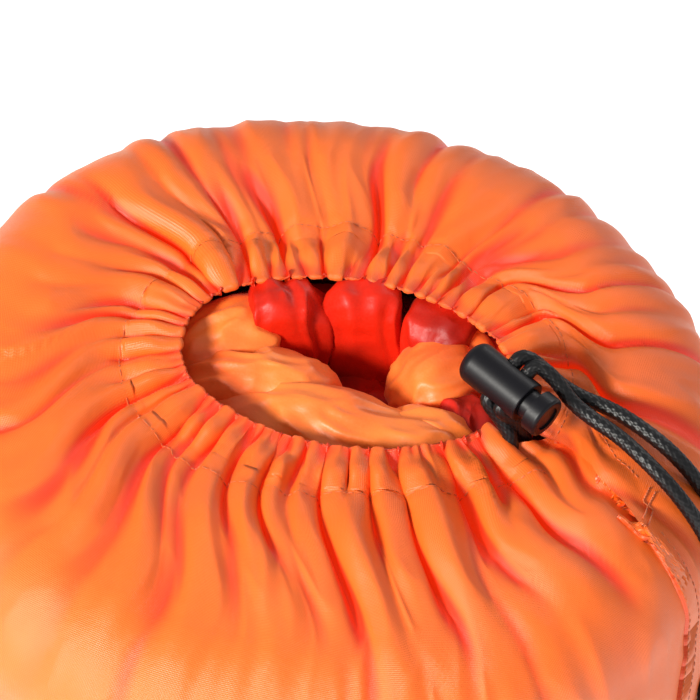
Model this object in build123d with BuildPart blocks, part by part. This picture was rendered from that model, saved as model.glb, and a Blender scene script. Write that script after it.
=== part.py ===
"""Drawcord stuff sack, packed with a sleeping bag: cloth tube, base, drawcord and cord lock.

Millimetres. The origin is on the floor under the middle of the sack, +Z is up, and the
front of the sack, towards which its mouth leans, faces -Y.
"""

from build123d import *
import os
from math import atan2, cos, degrees, radians, sin, tan

# Sack
sack_radius = 106.0  # wall of the packed sack
mouth_height = 348.0  # middle of the mouth above the floor
base_corner = 12.0  # rounding between the base and the wall
cloth = 0.8  # one skin of sewn cloth, with the creases in it

# Mouth: an oval of four arcs, leaning forwards
mouth_half_length = 43.5
mouth_half_width = 27.5
mouth_end_radius = 21.0
mouth_middle = (9.0, 2.0)
mouth_turn = -14.0  # degrees, the oval's long way about +Z
mouth_lean = 10.0  # degrees, the front edge lower

# Shoulder: the top leans forwards from the bend, and falls a little towards its rounding
bend_depth = 45.0  # bend below the middle of the mouth
shoulder_drop = 0.7  # crown below the mouth's plane
shoulder_slope = 3.0  # degrees
shoulder_round = 24.0

# Casing, the channel that the drawcord runs in
casing_width = 15.5
cord_diameter = 4.0
channel_clearance = 0.3  # around the cord, in the channel's height
slit_angle = -38.0  # degrees, round the oval's end arc
casing_gap = 16.0  # between the two ends of the casing, along the cord

# Slit, side seam and base seam
seam_azimuth = -30.0  # degrees about the sack's axis
slit_end_radius = 101.0  # distance of the slit's lower end from the axis
slit_width = 1.6
hem_width = 7.0
fell_width = 9.0
fell_thickness = 0.7
fell_foot = 14.0  # height at which the side seam's fell starts
thread = 0.4  # how proud a row of stitches stands
thread_width = 0.6
bartack_length = 11.0
bartack_width = 2.4
binding_width = 4.0
binding_thickness = 2.0

# Cord lock: place and directions, then its own sizes
lock_place = (50.6, -18.6)  # in plan
lock_rise = 7.8  # middle of the lock's bore above the middle of the mouth
lock_axis = Vector(0.7286, -0.6488, -0.2196)
bore_direction = Vector(0.6194, 0.4873, 0.6156)
lane_offset = 2.2  # each cord from the bore's middle, along the lock's axis
lane_end = 6.3  # end of the bore's straight lanes, from the bore's middle
lead_straight_back = 4.5  # cord's first run out of the casing's back end
lead_straight_front = 5.5
lane_start_back = 2.6  # foot of each straight lane, below the barrel's wall
lane_start_front = 3.6
lead_middle = (47.6, -23.6)  # in plan, where the lower lead turns up to the bore
lead_middle_drop = 4.4  # below the middle of the mouth
barrel_radius = 5.8
barrel_foot = 13.0  # closed end, from the bore's middle
barrel_top = 7.2  # open end, from the bore's middle
barrel_wall = 1.65
barrel_floor = 1.8
plunger_fit = 0.15  # radial clearance of the stem in the barrel
bore_clearance = 0.3  # around the two cords
press_travel = 2.6
press_stop = 0.3  # left between the head and the barrel at full travel
head_height = 4.2
thumb_recess_radius = 3.48
thumb_recess_depth = 0.56
stem_web = 1.7  # below the plunger's slot
spring_wire = 0.6
spring_turns = 3.5

# Stuffed sleeping bag
filling_gap = 2.6  # between the cloth's outer face and the filling
filling_foot = 3.4  # underside of the filling above the floor
pit_inset = 3.0  # pit's wall, in from the mouth's edge
pit_depth = 56.0
fold_rounding = 2.5

# Knot at the end of the two tails
knot_centre = Vector(113.2, -11.0, 69.0)
knot_radius = 6.0
knot_height = 14.0
knot_rounding = 1.5
cut_end_length = 15.0
cut_end_chamfer = 0.5
cut_end_spread = 2.6

# The free tails, from the lock over the shoulder and down the wall to the knot
tail_back_points = [
    (52.90, -14.10, 360.16),
    (54.14, -13.13, 361.39),
    (56.20, -12.00, 361.80),
    (58.50, -11.50, 361.00),
    (61.70, -12.30, 357.60),
    (68.60, -14.90, 352.00),
    (78.00, -18.40, 348.00),
    (86.00, -25.20, 347.00),
    (94.80, -31.00, 342.40),
    (103.60, -33.50, 330.50),
    (108.80, -31.50, 314.00),
    (109.00, -26.50, 287.00),
    (107.90, -20.00, 238.00),
    (108.40, -14.50, 184.00),
    (108.00, -11.00, 135.00),
    (110.80, -9.20, 104.00),
    (113.20, -8.70, 76.00),
]
tail_front_points = [
    (56.11, -16.96, 359.19),
    (57.72, -15.69, 360.79),
    (60.20, -15.60, 361.20),
    (62.70, -16.70, 359.90),
    (65.10, -18.60, 356.20),
    (71.40, -21.50, 350.80),
    (79.60, -28.60, 347.40),
    (86.80, -36.40, 345.00),
    (94.60, -41.60, 338.60),
    (102.60, -43.20, 325.50),
    (106.40, -40.50, 308.00),
    (106.20, -35.00, 281.00),
    (105.60, -28.50, 234.00),
    (106.60, -22.50, 182.00),
    (107.00, -17.50, 134.00),
    (110.60, -14.20, 104.00),
    (113.20, -13.30, 76.00),
]

# Worked out from the sizes above
cord_radius = cord_diameter / 2
end_centre = mouth_half_length - mouth_end_radius
narrow = mouth_half_width - mouth_end_radius
side_radius = ((end_centre**2 / narrow) + mouth_end_radius + mouth_half_width) / 2
side_centre = side_radius - mouth_half_width
junction = degrees(atan2(side_centre, end_centre))
channel_height = cord_diameter + 2 * channel_clearance
casing_height = channel_height + 2 * cloth
cord_inset = cloth + channel_clearance / 2 + cord_radius
gap_half_angle = degrees(casing_gap / 2 / (mouth_end_radius + cord_inset))

mouth_origin = Vector(mouth_middle[0], mouth_middle[1], mouth_height)
lock_centre = Vector(lock_place[0], lock_place[1], mouth_height + lock_rise)
bend_height = mouth_height - bend_depth
bend_origin = Vector(0, 0, bend_height)
lean_axis = Vector(0, -sin(radians(mouth_lean)), cos(radians(mouth_lean)))
top_rise = (mouth_origin - bend_origin).dot(lean_axis)


turn = radians(mouth_turn)
lean = radians(mouth_lean)
mouth_along = Vector(cos(turn), sin(turn) * cos(lean), sin(turn) * sin(lean))
mouth_plane = Plane(origin=mouth_origin, x_dir=mouth_along, z_dir=lean_axis)


def oval(extra):
    """Face of the mouth's oval, moved outwards by extra."""
    end_radius = mouth_end_radius + extra
    wide_radius = side_radius + extra
    with BuildSketch(Plane.XY) as face:
        with BuildLine():
            CenterArc((end_centre, 0), end_radius, -junction, 2 * junction)
            CenterArc((0, -side_centre), wide_radius, junction, 180 - 2 * junction)
            CenterArc((-end_centre, 0), end_radius, 180 - junction, 2 * junction)
            CenterArc((0, side_centre), wide_radius, 180 + junction, 180 - 2 * junction)
        make_face()
    return face.sketch


def stuffed_form(depth):
    """Closed solid inside the cloth's outer face, moved inwards by depth.

    The wall is upright up to the bend, a wedge of a sphere turns it forwards behind, and
    the top above the bend is turned about the leaning axis.
    """
    wall = sack_radius - depth
    corner = base_corner - depth
    slope = radians(shoulder_slope)
    crown = top_rise - shoulder_drop
    round_radius = shoulder_round - depth
    round_middle = sack_radius - shoulder_round
    round_height = crown - tan(slope) * round_middle - shoulder_round / cos(slope)
    round_end_x = round_middle + round_radius * sin(slope)
    round_end_y = round_height + round_radius * cos(slope)
    with BuildPart() as form:
        with BuildSketch(Plane.XZ):
            with BuildLine():
                Line((0, depth), (wall - corner, depth))
                CenterArc((wall - corner, depth + corner), corner, -90, 90)
                Line((wall, depth + corner), (wall, bend_height))
                Line((wall, bend_height), (0, bend_height))
                Line((0, bend_height), (0, depth))
            make_face()
        revolve(axis=Axis.Z)
        with BuildSketch(Plane.XY.offset(bend_height)):
            with BuildLine():
                CenterArc((0, 0), wall, 0, 180)
                Line((-wall, 0), (wall, 0))
            make_face()
        revolve(axis=Axis(bend_origin, (1, 0, 0)), revolution_arc=mouth_lean)
        with BuildSketch(Plane(origin=bend_origin, x_dir=(1, 0, 0), z_dir=Vector(1, 0, 0).cross(lean_axis))):
            with BuildLine():
                Line((0, 0), (wall, 0))
                Line((wall, 0), (wall, round_height))
                CenterArc((round_middle, round_height), round_radius, 0, 90 - shoulder_slope)
                Line((round_end_x, round_end_y), (0, crown - depth / cos(slope)))
                Line((0, crown - depth / cos(slope)), (0, 0))
            make_face()
        revolve(axis=Axis(bend_origin, lean_axis))
    return form.part


def skin(outer, inner):
    """Sheet between two depths of the stuffed form."""
    return stuffed_form(outer) - stuffed_form(inner)


def corner_radii(points):
    """Radius at each corner of a cord's route: as large as its two runs allow."""
    radii = []
    for before, here, after in zip(points, points[1:], points[2:]):
        run_in = Vector(here) - Vector(before)
        run_out = Vector(after) - Vector(here)
        turn = radians(run_in.get_angle(run_out))
        radii.append(0.45 * min(run_in.length, run_out.length) / tan(turn / 2))
    return radii


def cord_tube(points, name):
    """Tube of the cord along straight runs joined by tangent arcs."""
    radii = corner_radii(points)
    with BuildPart() as tube:
        with BuildLine() as route:
            FilletPolyline(*points, radius=radii)
        with BuildSketch(Plane(origin=points[0], z_dir=route.line % 0)):
            Circle(cord_radius)
        path = route.wires()[0]
        sweep(path=path)
    share = tube.part.volume / (cord_radius**2 * radians(180) * path.length)
    print(name, "length", round(path.length, 1), "tube over section x length", round(share, 4))
    print("  radii", [round(radius, 1) for radius in radii])
    return tube.part


def slab(start, end, width, low, high, shift=0.0):
    """Upright plate between two plan points, width thick, shifted to its left."""
    length = (end - start).length
    middle = (start + end) * 0.5
    heading = degrees(atan2(end.Y - start.Y, end.X - start.X))
    with BuildPart() as plate:
        with BuildSketch(Plane.XY.offset(low)):
            with Locations(Location((middle.X, middle.Y, 0), (0, 0, heading))):
                with Locations((0, shift)):
                    Rectangle(length, width)
        extrude(amount=high - low)
    return plate.part


cord_plane = mouth_plane.offset(-cloth - channel_clearance - cord_radius)
casing_outline = oval(casing_width)
mouth_outline = oval(0)
channel_outline = oval(casing_width - cloth)
channel_core = oval(cloth)
stitch_outline = oval(casing_width - 2 * cloth)
stitch_core = oval(casing_width - 2 * cloth - thread_width)
neck_outline = oval(casing_width + filling_gap)
pit_outline = oval(-pit_inset)
top = mouth_height + 2 * casing_width

# The slit runs from the casing's gap to the top of the side seam.
slit_local = mouth_end_radius + cord_inset
slit_start = mouth_plane.from_local_coords(
    Vector(
        end_centre + slit_local * cos(radians(slit_angle)),
        slit_local * sin(radians(slit_angle)),
        0,
    )
)
slit_end = Vector(
    slit_end_radius * cos(radians(seam_azimuth)),
    slit_end_radius * sin(radians(seam_azimuth)),
    0,
)
slit_start = Vector(slit_start.X, slit_start.Y, 0)
slit_heading = (slit_end - slit_start).normalized()
seam_heading = Vector(cos(radians(seam_azimuth)), sin(radians(seam_azimuth)), 0)
seam_outside = seam_heading * (sack_radius + 2 * fell_thickness + 2 * thread)
shoulder_low = bend_height

outer_form = stuffed_form(0)
inner_form = stuffed_form(cloth)

with BuildPart() as casing_block:
    with BuildSketch(mouth_plane.offset(-4 * casing_height)):
        add(casing_outline)
    extrude(amount=6 * casing_height)

with BuildPart() as casing_wedge:
    with BuildSketch(mouth_plane.offset(-2 * casing_height)):
        with BuildLine():
            reach = 3 * casing_width + mouth_end_radius
            low_angle = radians(slit_angle - gap_half_angle)
            high_angle = radians(slit_angle + gap_half_angle)
            Polyline(
                (end_centre, 0),
                (end_centre + reach * cos(low_angle), reach * sin(low_angle)),
                (end_centre + reach * cos(high_angle), reach * sin(high_angle)),
                close=True,
            )
        make_face()
    extrude(amount=4 * casing_height)

# Sack body: one cloth panel, wrapped round and gathered in over the shoulder
with BuildPart() as sack_body:
    add(outer_form)
    add(inner_form, mode=Mode.SUBTRACT)
    with BuildSketch(Plane.XY):
        Circle(sack_radius - base_corner)
    extrude(amount=2 * cloth, mode=Mode.SUBTRACT)
    add(casing_block.part, mode=Mode.SUBTRACT)
    add(slab(slit_start, slit_end, slit_width, shoulder_low, top), mode=Mode.SUBTRACT)
sack_body.part.label = "sack_body"

# Base panel: the round of cloth that the sack stands on
with BuildPart() as base_panel:
    with BuildSketch(Plane.XY):
        Circle(sack_radius - base_corner)
    extrude(amount=cloth)
base_panel.part.label = "base_panel"

# Binding tape over the raw edges of the base seam, inside the sack
with BuildPart() as base_seam_binding:
    with BuildSketch(Plane.XY.offset(cloth)):
        Circle(sack_radius - base_corner)
        Circle(sack_radius - base_corner - binding_width, mode=Mode.SUBTRACT)
    extrude(amount=binding_thickness)
base_seam_binding.part.label = "base_seam_binding"

with BuildPart() as base_seam_stitching:
    with BuildSketch(Plane.XY.offset(cloth + binding_thickness)):
        Circle(sack_radius - base_corner - binding_width / 2 + thread_width / 2)
        Circle(sack_radius - base_corner - binding_width / 2 - thread_width / 2, mode=Mode.SUBTRACT)
    extrude(amount=thread)
base_seam_stitching.part.label = "base_seam_stitching"

# Drawcord casing: the hemmed channel round the mouth, open where the slit meets it
with BuildPart() as drawcord_casing:
    with BuildSketch(mouth_plane.offset(-casing_height)):
        add(casing_outline)
        add(mouth_outline, mode=Mode.SUBTRACT)
    extrude(amount=casing_height)
    with BuildSketch(mouth_plane.offset(cloth - casing_height)):
        add(channel_outline)
        add(channel_core, mode=Mode.SUBTRACT)
    extrude(amount=channel_height, mode=Mode.SUBTRACT)
    add(casing_wedge.part, mode=Mode.SUBTRACT)
drawcord_casing.part.label = "drawcord_casing"

with BuildPart() as casing_stitching:
    with BuildSketch(mouth_plane):
        add(stitch_outline)
        add(stitch_core, mode=Mode.SUBTRACT)
    extrude(amount=thread)
    add(casing_wedge.part, mode=Mode.SUBTRACT)
casing_stitching.part.label = "casing_stitching"

# Side seam: a felled strip up the outside, from the base's rounding to the slit
fell_skin = skin(-fell_thickness, 0)
fell_start = slit_end + seam_heading * bartack_width
with BuildPart() as side_seam_fell:
    add(fell_skin)
    add(slab(fell_start, seam_outside, fell_width, fell_foot, top), mode=Mode.INTERSECT)
side_seam_fell.part.label = "side_seam_fell"

thread_skin = skin(-fell_thickness - thread, -fell_thickness)
stitch_side = fell_width / 2 - 2 * thread_width
stitch_lines = slab(fell_start, seam_outside, thread_width, fell_foot, top, stitch_side)
stitch_lines += slab(fell_start, seam_outside, thread_width, fell_foot, top, -stitch_side)
with BuildPart() as side_seam_stitching:
    add(thread_skin)
    add(stitch_lines, mode=Mode.INTERSECT)
side_seam_stitching.part.label = "side_seam_stitching"

# Hems of the slit, turned in under both edges, and their top-stitching
hem_skin = skin(cloth, 2 * cloth)
hem_side = (slit_width + hem_width) / 2
front_strip = slab(slit_start, slit_end, hem_width, shoulder_low, top, -hem_side)
back_strip = slab(slit_start, slit_end, hem_width, shoulder_low, top, hem_side)

with BuildPart() as slit_hem_front:
    add(hem_skin)
    add(front_strip, mode=Mode.INTERSECT)
    add(casing_block.part, mode=Mode.SUBTRACT)
slit_hem_front.part.label = "slit_hem_front"

with BuildPart() as slit_hem_back:
    add(hem_skin)
    add(back_strip, mode=Mode.INTERSECT)
    add(casing_block.part, mode=Mode.SUBTRACT)
slit_hem_back.part.label = "slit_hem_back"

row_side = slit_width / 2 + hem_width - 2 * thread_width
slit_rows = slab(slit_start, slit_end, thread_width, shoulder_low, top, row_side)
slit_rows += slab(slit_start, slit_end, thread_width, shoulder_low, top, -row_side)
with BuildPart() as slit_stitching:
    add(skin(-thread, 0))
    add(slit_rows, mode=Mode.INTERSECT)
    add(casing_block.part, mode=Mode.SUBTRACT)
slit_stitching.part.label = "slit_stitching"

# Bartack: a dense block of stitches that stops the slit tearing further
bartack_start = slit_end + slit_heading * thread
bartack_end = slit_end + slit_heading * (bartack_width - thread)
with BuildPart() as slit_bartack:
    add(fell_skin)
    add(slab(bartack_start, bartack_end, bartack_length, shoulder_low, top), mode=Mode.INTERSECT)
    add(side_seam_fell.part, mode=Mode.SUBTRACT)
slit_bartack.part.label = "slit_bartack"

# Drawcord: round the mouth inside the casing, out of both ends and up through the lock
ring_radius = mouth_end_radius + cord_inset
ring_wide = side_radius + cord_inset
front_end_angle = slit_angle - gap_half_angle
back_end_angle = slit_angle + gap_half_angle


def casing_end(angle, side):
    """Point and outward direction of the cord where it leaves the casing."""
    point = Vector(
        end_centre + ring_radius * cos(radians(angle)), ring_radius * sin(radians(angle)), 0
    )
    ahead = Vector(-sin(radians(angle)), cos(radians(angle)), 0) * side
    world = cord_plane.from_local_coords(point)
    return world, cord_plane.from_local_coords(point + ahead) - world


def place(vector):
    """Three plain numbers of a point, for a cord's route."""
    return (vector.X, vector.Y, vector.Z)


front_end, front_ahead = casing_end(front_end_angle, 1)
back_end, back_ahead = casing_end(back_end_angle, -1)
back_lane = lock_centre + bore_direction * lane_end - lock_axis * lane_offset
front_lane = lock_centre + bore_direction * lane_end + lock_axis * lane_offset
bore_reach = 2 * (barrel_radius + bore_clearance)
front_lead_points = [
    place(front_end),
    place(front_end + front_ahead * lead_straight_back),
    place(back_lane - bore_direction * (bore_reach + lane_start_back)),
    place(back_lane),
]
back_lead_points = [
    place(back_end),
    place(back_end + back_ahead * lead_straight_front),
    (lead_middle[0], lead_middle[1], mouth_height - lead_middle_drop),
    place(front_lane - bore_direction * (bore_reach + lane_start_front)),
    place(front_lane),
]
front_lead = cord_tube(front_lead_points, "front lead")
back_lead = cord_tube(back_lead_points, "back lead")

with BuildPart() as drawcord:
    with BuildLine(cord_plane) as ring:
        CenterArc((end_centre, 0), ring_radius, back_end_angle, junction - back_end_angle)
        CenterArc((0, -side_centre), ring_wide, junction, 180 - 2 * junction)
        CenterArc((-end_centre, 0), ring_radius, 180 - junction, 2 * junction)
        CenterArc((0, side_centre), ring_wide, 180 + junction, 180 - 2 * junction)
        CenterArc((end_centre, 0), ring_radius, -junction, junction + front_end_angle)
    with BuildSketch(Plane(origin=back_end, z_dir=back_ahead * -1)):
        Circle(cord_radius)
    sweep(path=ring.wires()[0])
    print("drawcord in the casing", round(ring.wires()[0].length, 1))
    add(front_lead)
    add(back_lead)
drawcord.part.label = "drawcord"

# The two free tails
with BuildPart() as drawcord_tail_back:
    add(cord_tube(tail_back_points, "drawcord_tail_back"))
drawcord_tail_back.part.label = "drawcord_tail_back"

with BuildPart() as drawcord_tail_front:
    add(cord_tube(tail_front_points, "drawcord_tail_front"))
drawcord_tail_front.part.label = "drawcord_tail_front"

# Knot that joins the tails, and the two heat-sealed ends below it
knot_plane = Plane(origin=knot_centre - Vector(0, 0, knot_height / 2), z_dir=(0, 0, 1))
with BuildPart() as drawcord_knot:
    with BuildSketch(knot_plane):
        Circle(knot_radius)
    extrude(amount=knot_height)
    fillet(drawcord_knot.edges().filter_by(GeomType.CIRCLE), knot_rounding)
drawcord_knot.part.label = "drawcord_knot"

with BuildPart() as drawcord_cut_ends:
    with BuildSketch(knot_plane):
        with Locations((0, cut_end_spread), (0, -cut_end_spread)):
            Circle(cord_radius)
    extrude(amount=-cut_end_length)
    tips = drawcord_cut_ends.faces().sort_by(Axis.Z)[0:2]
    chamfer(tips.edges(), cut_end_chamfer)
drawcord_cut_ends.part.label = "drawcord_cut_ends"

# Cord lock: barrel with a cross bore for both cords, sprung plunger inside
lock_plane = Plane(origin=lock_centre, x_dir=bore_direction, z_dir=lock_axis)
bore_plane = Plane(origin=lock_centre, x_dir=lock_axis, z_dir=bore_direction)
slot_length = 2 * lane_offset + cord_diameter + 2 * bore_clearance
slot_width = cord_diameter + 2 * bore_clearance
stem_radius = barrel_radius - barrel_wall - plunger_fit
stem_foot = -slot_length / 2 - stem_web
spring_seat = barrel_floor - barrel_foot
head_foot = barrel_top + press_travel + press_stop

with BuildPart() as cord_lock_barrel:
    with BuildSketch(lock_plane.offset(-barrel_foot)):
        Circle(barrel_radius)
    extrude(amount=barrel_foot + barrel_top)
    round_edges = cord_lock_barrel.edges().filter_by(GeomType.CIRCLE)
    ends = round_edges.sort_by(Axis(lock_centre, lock_axis))
    fillet(ends[0], barrel_radius / 2)
    fillet(ends[-1], barrel_wall / 4)
    with BuildSketch(lock_plane.offset(spring_seat)):
        Circle(barrel_radius - barrel_wall)
    extrude(amount=barrel_top - spring_seat, mode=Mode.SUBTRACT)
    with BuildSketch(bore_plane):
        SlotOverall(slot_length, slot_width)
    extrude(amount=2 * barrel_radius, both=True, mode=Mode.SUBTRACT)
cord_lock_barrel.part.label = "cord_lock_barrel"

with BuildPart() as cord_lock_plunger:
    with BuildSketch(lock_plane.offset(stem_foot)):
        Circle(stem_radius)
    extrude(amount=head_foot - stem_foot)
    with BuildSketch(lock_plane.offset(head_foot)):
        Circle(barrel_radius)
    extrude(amount=head_height)
    round_edges = cord_lock_plunger.edges().filter_by(GeomType.CIRCLE)
    ends = round_edges.sort_by(Axis(lock_centre, lock_axis))
    fillet(ends[-1], head_height / 4)
    with BuildSketch(lock_plane.offset(head_foot + head_height)):
        Circle(thumb_recess_radius)
    extrude(amount=-thumb_recess_depth, mode=Mode.SUBTRACT)
    with BuildSketch(bore_plane):
        with Locations((press_travel / 2, 0)):
            SlotOverall(slot_length + press_travel, slot_width)
    extrude(amount=2 * barrel_radius, both=True, mode=Mode.SUBTRACT)
cord_lock_plunger.part.label = "cord_lock_plunger"

# Spring between the barrel's floor and the stem
spring_room = stem_foot - spring_seat
spring_radius = stem_radius - 1.5 * spring_wire
spring_plane = lock_plane.offset(spring_seat + spring_wire / 2)
with BuildPart() as cord_lock_spring:
    with BuildLine() as coil:
        Helix(
            pitch=(spring_room - spring_wire) / spring_turns,
            height=spring_room - spring_wire,
            radius=spring_radius,
            center=spring_plane.origin,
            direction=lock_axis,
        )
    with BuildSketch(Plane(origin=coil.line @ 0, z_dir=coil.line % 0)):
        Circle(spring_wire / 2)
    sweep(path=coil.line, is_frenet=True)
cord_lock_spring.part.label = "cord_lock_spring"

# Stuffed sleeping bag: the filling, with a pit under the mouth, and the folds in the pit
with BuildPart() as sleeping_bag_filling:
    add(stuffed_form(filling_gap))
    with BuildSketch(Plane.XY):
        Circle(sack_radius)
    extrude(amount=filling_foot, mode=Mode.SUBTRACT)
    with BuildSketch(mouth_plane.offset(-casing_height - channel_clearance)):
        add(neck_outline)
    extrude(amount=4 * casing_height, mode=Mode.SUBTRACT)
    with BuildSketch(mouth_plane.offset(-pit_depth)):
        add(pit_outline)
    extrude(amount=pit_depth, mode=Mode.SUBTRACT)
sleeping_bag_filling.part.label = "sleeping_bag_filling"


def fold(middle, half_length, half_width, below):
    """Rounded fold of the sleeping bag standing in the pit, below the mouth's edge."""
    with BuildPart() as lobe:
        with BuildSketch(mouth_plane.offset(-pit_depth)):
            with Locations(middle):
                Ellipse(half_length, half_width)
        extrude(amount=pit_depth - below)
        fillet(lobe.faces().sort_by(Axis.Z)[-1].edges(), fold_rounding)
    return lobe.part


with BuildPart() as sleeping_bag_fold_left:
    add(fold((-22.0, 2.0), 16.0, 16.5, 9.0))
sleeping_bag_fold_left.part.label = "sleeping_bag_fold_left"

with BuildPart() as sleeping_bag_fold_front:
    add(fold((10.0, -14.0), 18.0, 7.2, 14.0))
sleeping_bag_fold_front.part.label = "sleeping_bag_fold_front"

with BuildPart() as sleeping_bag_fold_right:
    add(fold((28.0, 4.0), 9.8, 11.6, 12.0))
sleeping_bag_fold_right.part.label = "sleeping_bag_fold_right"

os.makedirs("parts", exist_ok=True)
for piece in (
    sack_body,
    base_panel,
    base_seam_binding,
    base_seam_stitching,
    drawcord_casing,
    casing_stitching,
    side_seam_fell,
    side_seam_stitching,
    slit_hem_front,
    slit_hem_back,
    slit_stitching,
    slit_bartack,
    drawcord,
    drawcord_tail_back,
    drawcord_tail_front,
    drawcord_knot,
    drawcord_cut_ends,
    cord_lock_barrel,
    cord_lock_plunger,
    cord_lock_spring,
    sleeping_bag_filling,
    sleeping_bag_fold_left,
    sleeping_bag_fold_front,
    sleeping_bag_fold_right,
):
    export_step(piece.part, "parts/" + piece.part.label + ".step")
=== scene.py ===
"""Stuff sack packed with a sleeping bag, dressed round its CAD frame. Metres, +Z up, the front towards -Y."""
from math import cos, pi, radians, sin, tan, tau

import bmesh
import bpy
import numpy as np
from mathutils import Matrix, Vector, noise


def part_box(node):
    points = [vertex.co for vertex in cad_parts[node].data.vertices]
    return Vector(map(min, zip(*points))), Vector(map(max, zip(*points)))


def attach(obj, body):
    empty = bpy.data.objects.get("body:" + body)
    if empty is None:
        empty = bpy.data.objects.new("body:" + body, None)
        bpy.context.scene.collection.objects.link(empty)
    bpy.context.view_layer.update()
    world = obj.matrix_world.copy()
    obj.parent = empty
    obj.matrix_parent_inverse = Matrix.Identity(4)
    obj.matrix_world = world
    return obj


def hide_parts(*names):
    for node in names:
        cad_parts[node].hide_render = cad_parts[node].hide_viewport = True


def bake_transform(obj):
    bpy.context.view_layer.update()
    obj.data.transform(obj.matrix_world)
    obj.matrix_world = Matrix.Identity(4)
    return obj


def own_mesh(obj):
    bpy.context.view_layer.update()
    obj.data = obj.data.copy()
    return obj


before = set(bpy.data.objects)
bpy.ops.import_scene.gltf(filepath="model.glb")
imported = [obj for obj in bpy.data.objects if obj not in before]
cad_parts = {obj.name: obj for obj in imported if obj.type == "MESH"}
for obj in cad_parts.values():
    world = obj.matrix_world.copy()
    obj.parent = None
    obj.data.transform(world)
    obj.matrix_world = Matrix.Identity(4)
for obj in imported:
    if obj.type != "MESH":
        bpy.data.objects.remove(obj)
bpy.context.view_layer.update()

MM = 0.001

# ---------------------------------------------------------------- sizes, as in the frame
sack_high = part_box("sack_body")[1]
SACK_RADIUS = sack_high.x
MOUTH_HEIGHT = 348 * MM
MOUTH_MIDDLE = (9 * MM, 2 * MM)
MOUTH_HALF_LENGTH = 43.5 * MM
MOUTH_HALF_WIDTH = 27.5 * MM
MOUTH_END_RADIUS = 21 * MM
MOUTH_TURN = radians(-14)
MOUTH_LEAN = radians(10)
BEND_HEIGHT = MOUTH_HEIGHT - 45 * MM
SHOULDER_DROP = 0.7 * MM
SHOULDER_SLOPE = radians(3)
SHOULDER_ROUND = 24 * MM
BASE_CORNER = 12 * MM
CASING_WIDTH = 15.5 * MM
RIM_RADIUS = 1.4 * MM
INNER_DEPTH = 11.5 * MM
INNER_REACH = 13 * MM
CORD_DIAMETER = 4 * MM

# ---------------------------------------------------------------- camera and light
CAMERA_AIM = Vector((10 * MM, 3 * MM, 350 * MM))
CAMERA_DISTANCE = 1.2
CAMERA_ELEVATION = radians(40)
CAMERA_LENS = 234.5


def aimed(thing, target):
    """Turns a camera or light so that it looks at target."""
    thing.rotation_euler = (Vector(target) - thing.location).to_track_quat("-Z", "Y").to_euler()


def add_camera():
    data = bpy.data.cameras.new("camera")
    data.lens = CAMERA_LENS
    data.clip_end = 20
    camera = bpy.data.objects.new("camera", data)
    bpy.context.scene.collection.objects.link(camera)
    away = Vector((0, -cos(CAMERA_ELEVATION), sin(CAMERA_ELEVATION)))
    camera.location = CAMERA_AIM + away * CAMERA_DISTANCE
    aimed(camera, CAMERA_AIM)
    bpy.context.scene.camera = camera


def add_light(name, place, size, watts, colour):
    data = bpy.data.lights.new(name, "AREA")
    data.shape = "DISK"
    data.size = size
    data.energy = watts
    data.color = colour
    light = bpy.data.objects.new(name, data)
    bpy.context.scene.collection.objects.link(light)
    light.location = place
    aimed(light, (0, 0, 0.3))


def add_stage():
    """Pale floor, white surroundings and soft lights."""
    bm = bmesh.new()
    bmesh.ops.create_grid(bm, x_segments=1, y_segments=1, size=6)
    floor = new_piece("floor", bm)
    paint = Finish("pale_floor", roughness=0.9)
    speckle = paint.node("ShaderNodeTexNoise", inputs={"Scale": 6.0, "Detail": 2.0}, vector="Object")
    paint.feed("Base Color", paint.blend(speckle, (0.93, 0.93, 0.93), (0.96, 0.96, 0.96)))
    paint.feed("Emission Color", (1, 1, 1, 1))
    paint.feed("Emission Strength", 0.42)
    floor.data.materials.append(paint.material)
    world = bpy.data.worlds.new("studio")
    bpy.context.scene.world = world
    world.use_nodes = True
    bpy.context.scene.view_settings.view_transform = "Standard"
    background = world.node_tree.nodes["Background"]
    background.inputs["Color"].default_value = (1, 1, 1, 1)
    background.inputs["Strength"].default_value = 0.42
    add_light("key", (-1.15, -1.25, 1.15), 0.5, 52, (1, 0.97, 0.9))
    add_light("rim", (0.9, 1.0, 1.3), 0.6, 5, (1, 0.97, 0.95))


# ---------------------------------------------------------------- shader maths
class Value:
    """A shader value: sums on it add their Math nodes."""

    def __init__(self, finish, socket):
        self.finish = finish
        self.socket = socket

    def maths(self, operation, *terms):
        inputs = dict(enumerate(terms))
        return self.finish.node("ShaderNodeMath", {"operation": operation}, inputs)

    def __add__(self, other):
        return self.maths("ADD", self, other)

    __radd__ = __add__

    def __sub__(self, other):
        return self.maths("SUBTRACT", self, other)

    def __rsub__(self, other):
        return self.maths("SUBTRACT", other, self)

    def __mul__(self, other):
        return self.maths("MULTIPLY", self, other)

    __rmul__ = __mul__

    def __truediv__(self, other):
        return self.maths("DIVIDE", self, other)

    def __pow__(self, other):
        return self.maths("POWER", self, other)

    def wave(self):
        return self.maths("SINE", self)

    def size(self):
        return self.maths("ABSOLUTE", self)

    def between(self, low, high):
        """0 at low, 1 at high, held inside that."""
        inputs = {"Value": self, "From Min": low, "From Max": high}
        return self.finish.node("ShaderNodeMapRange", {"interpolation_type": "SMOOTHSTEP"}, inputs)


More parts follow.
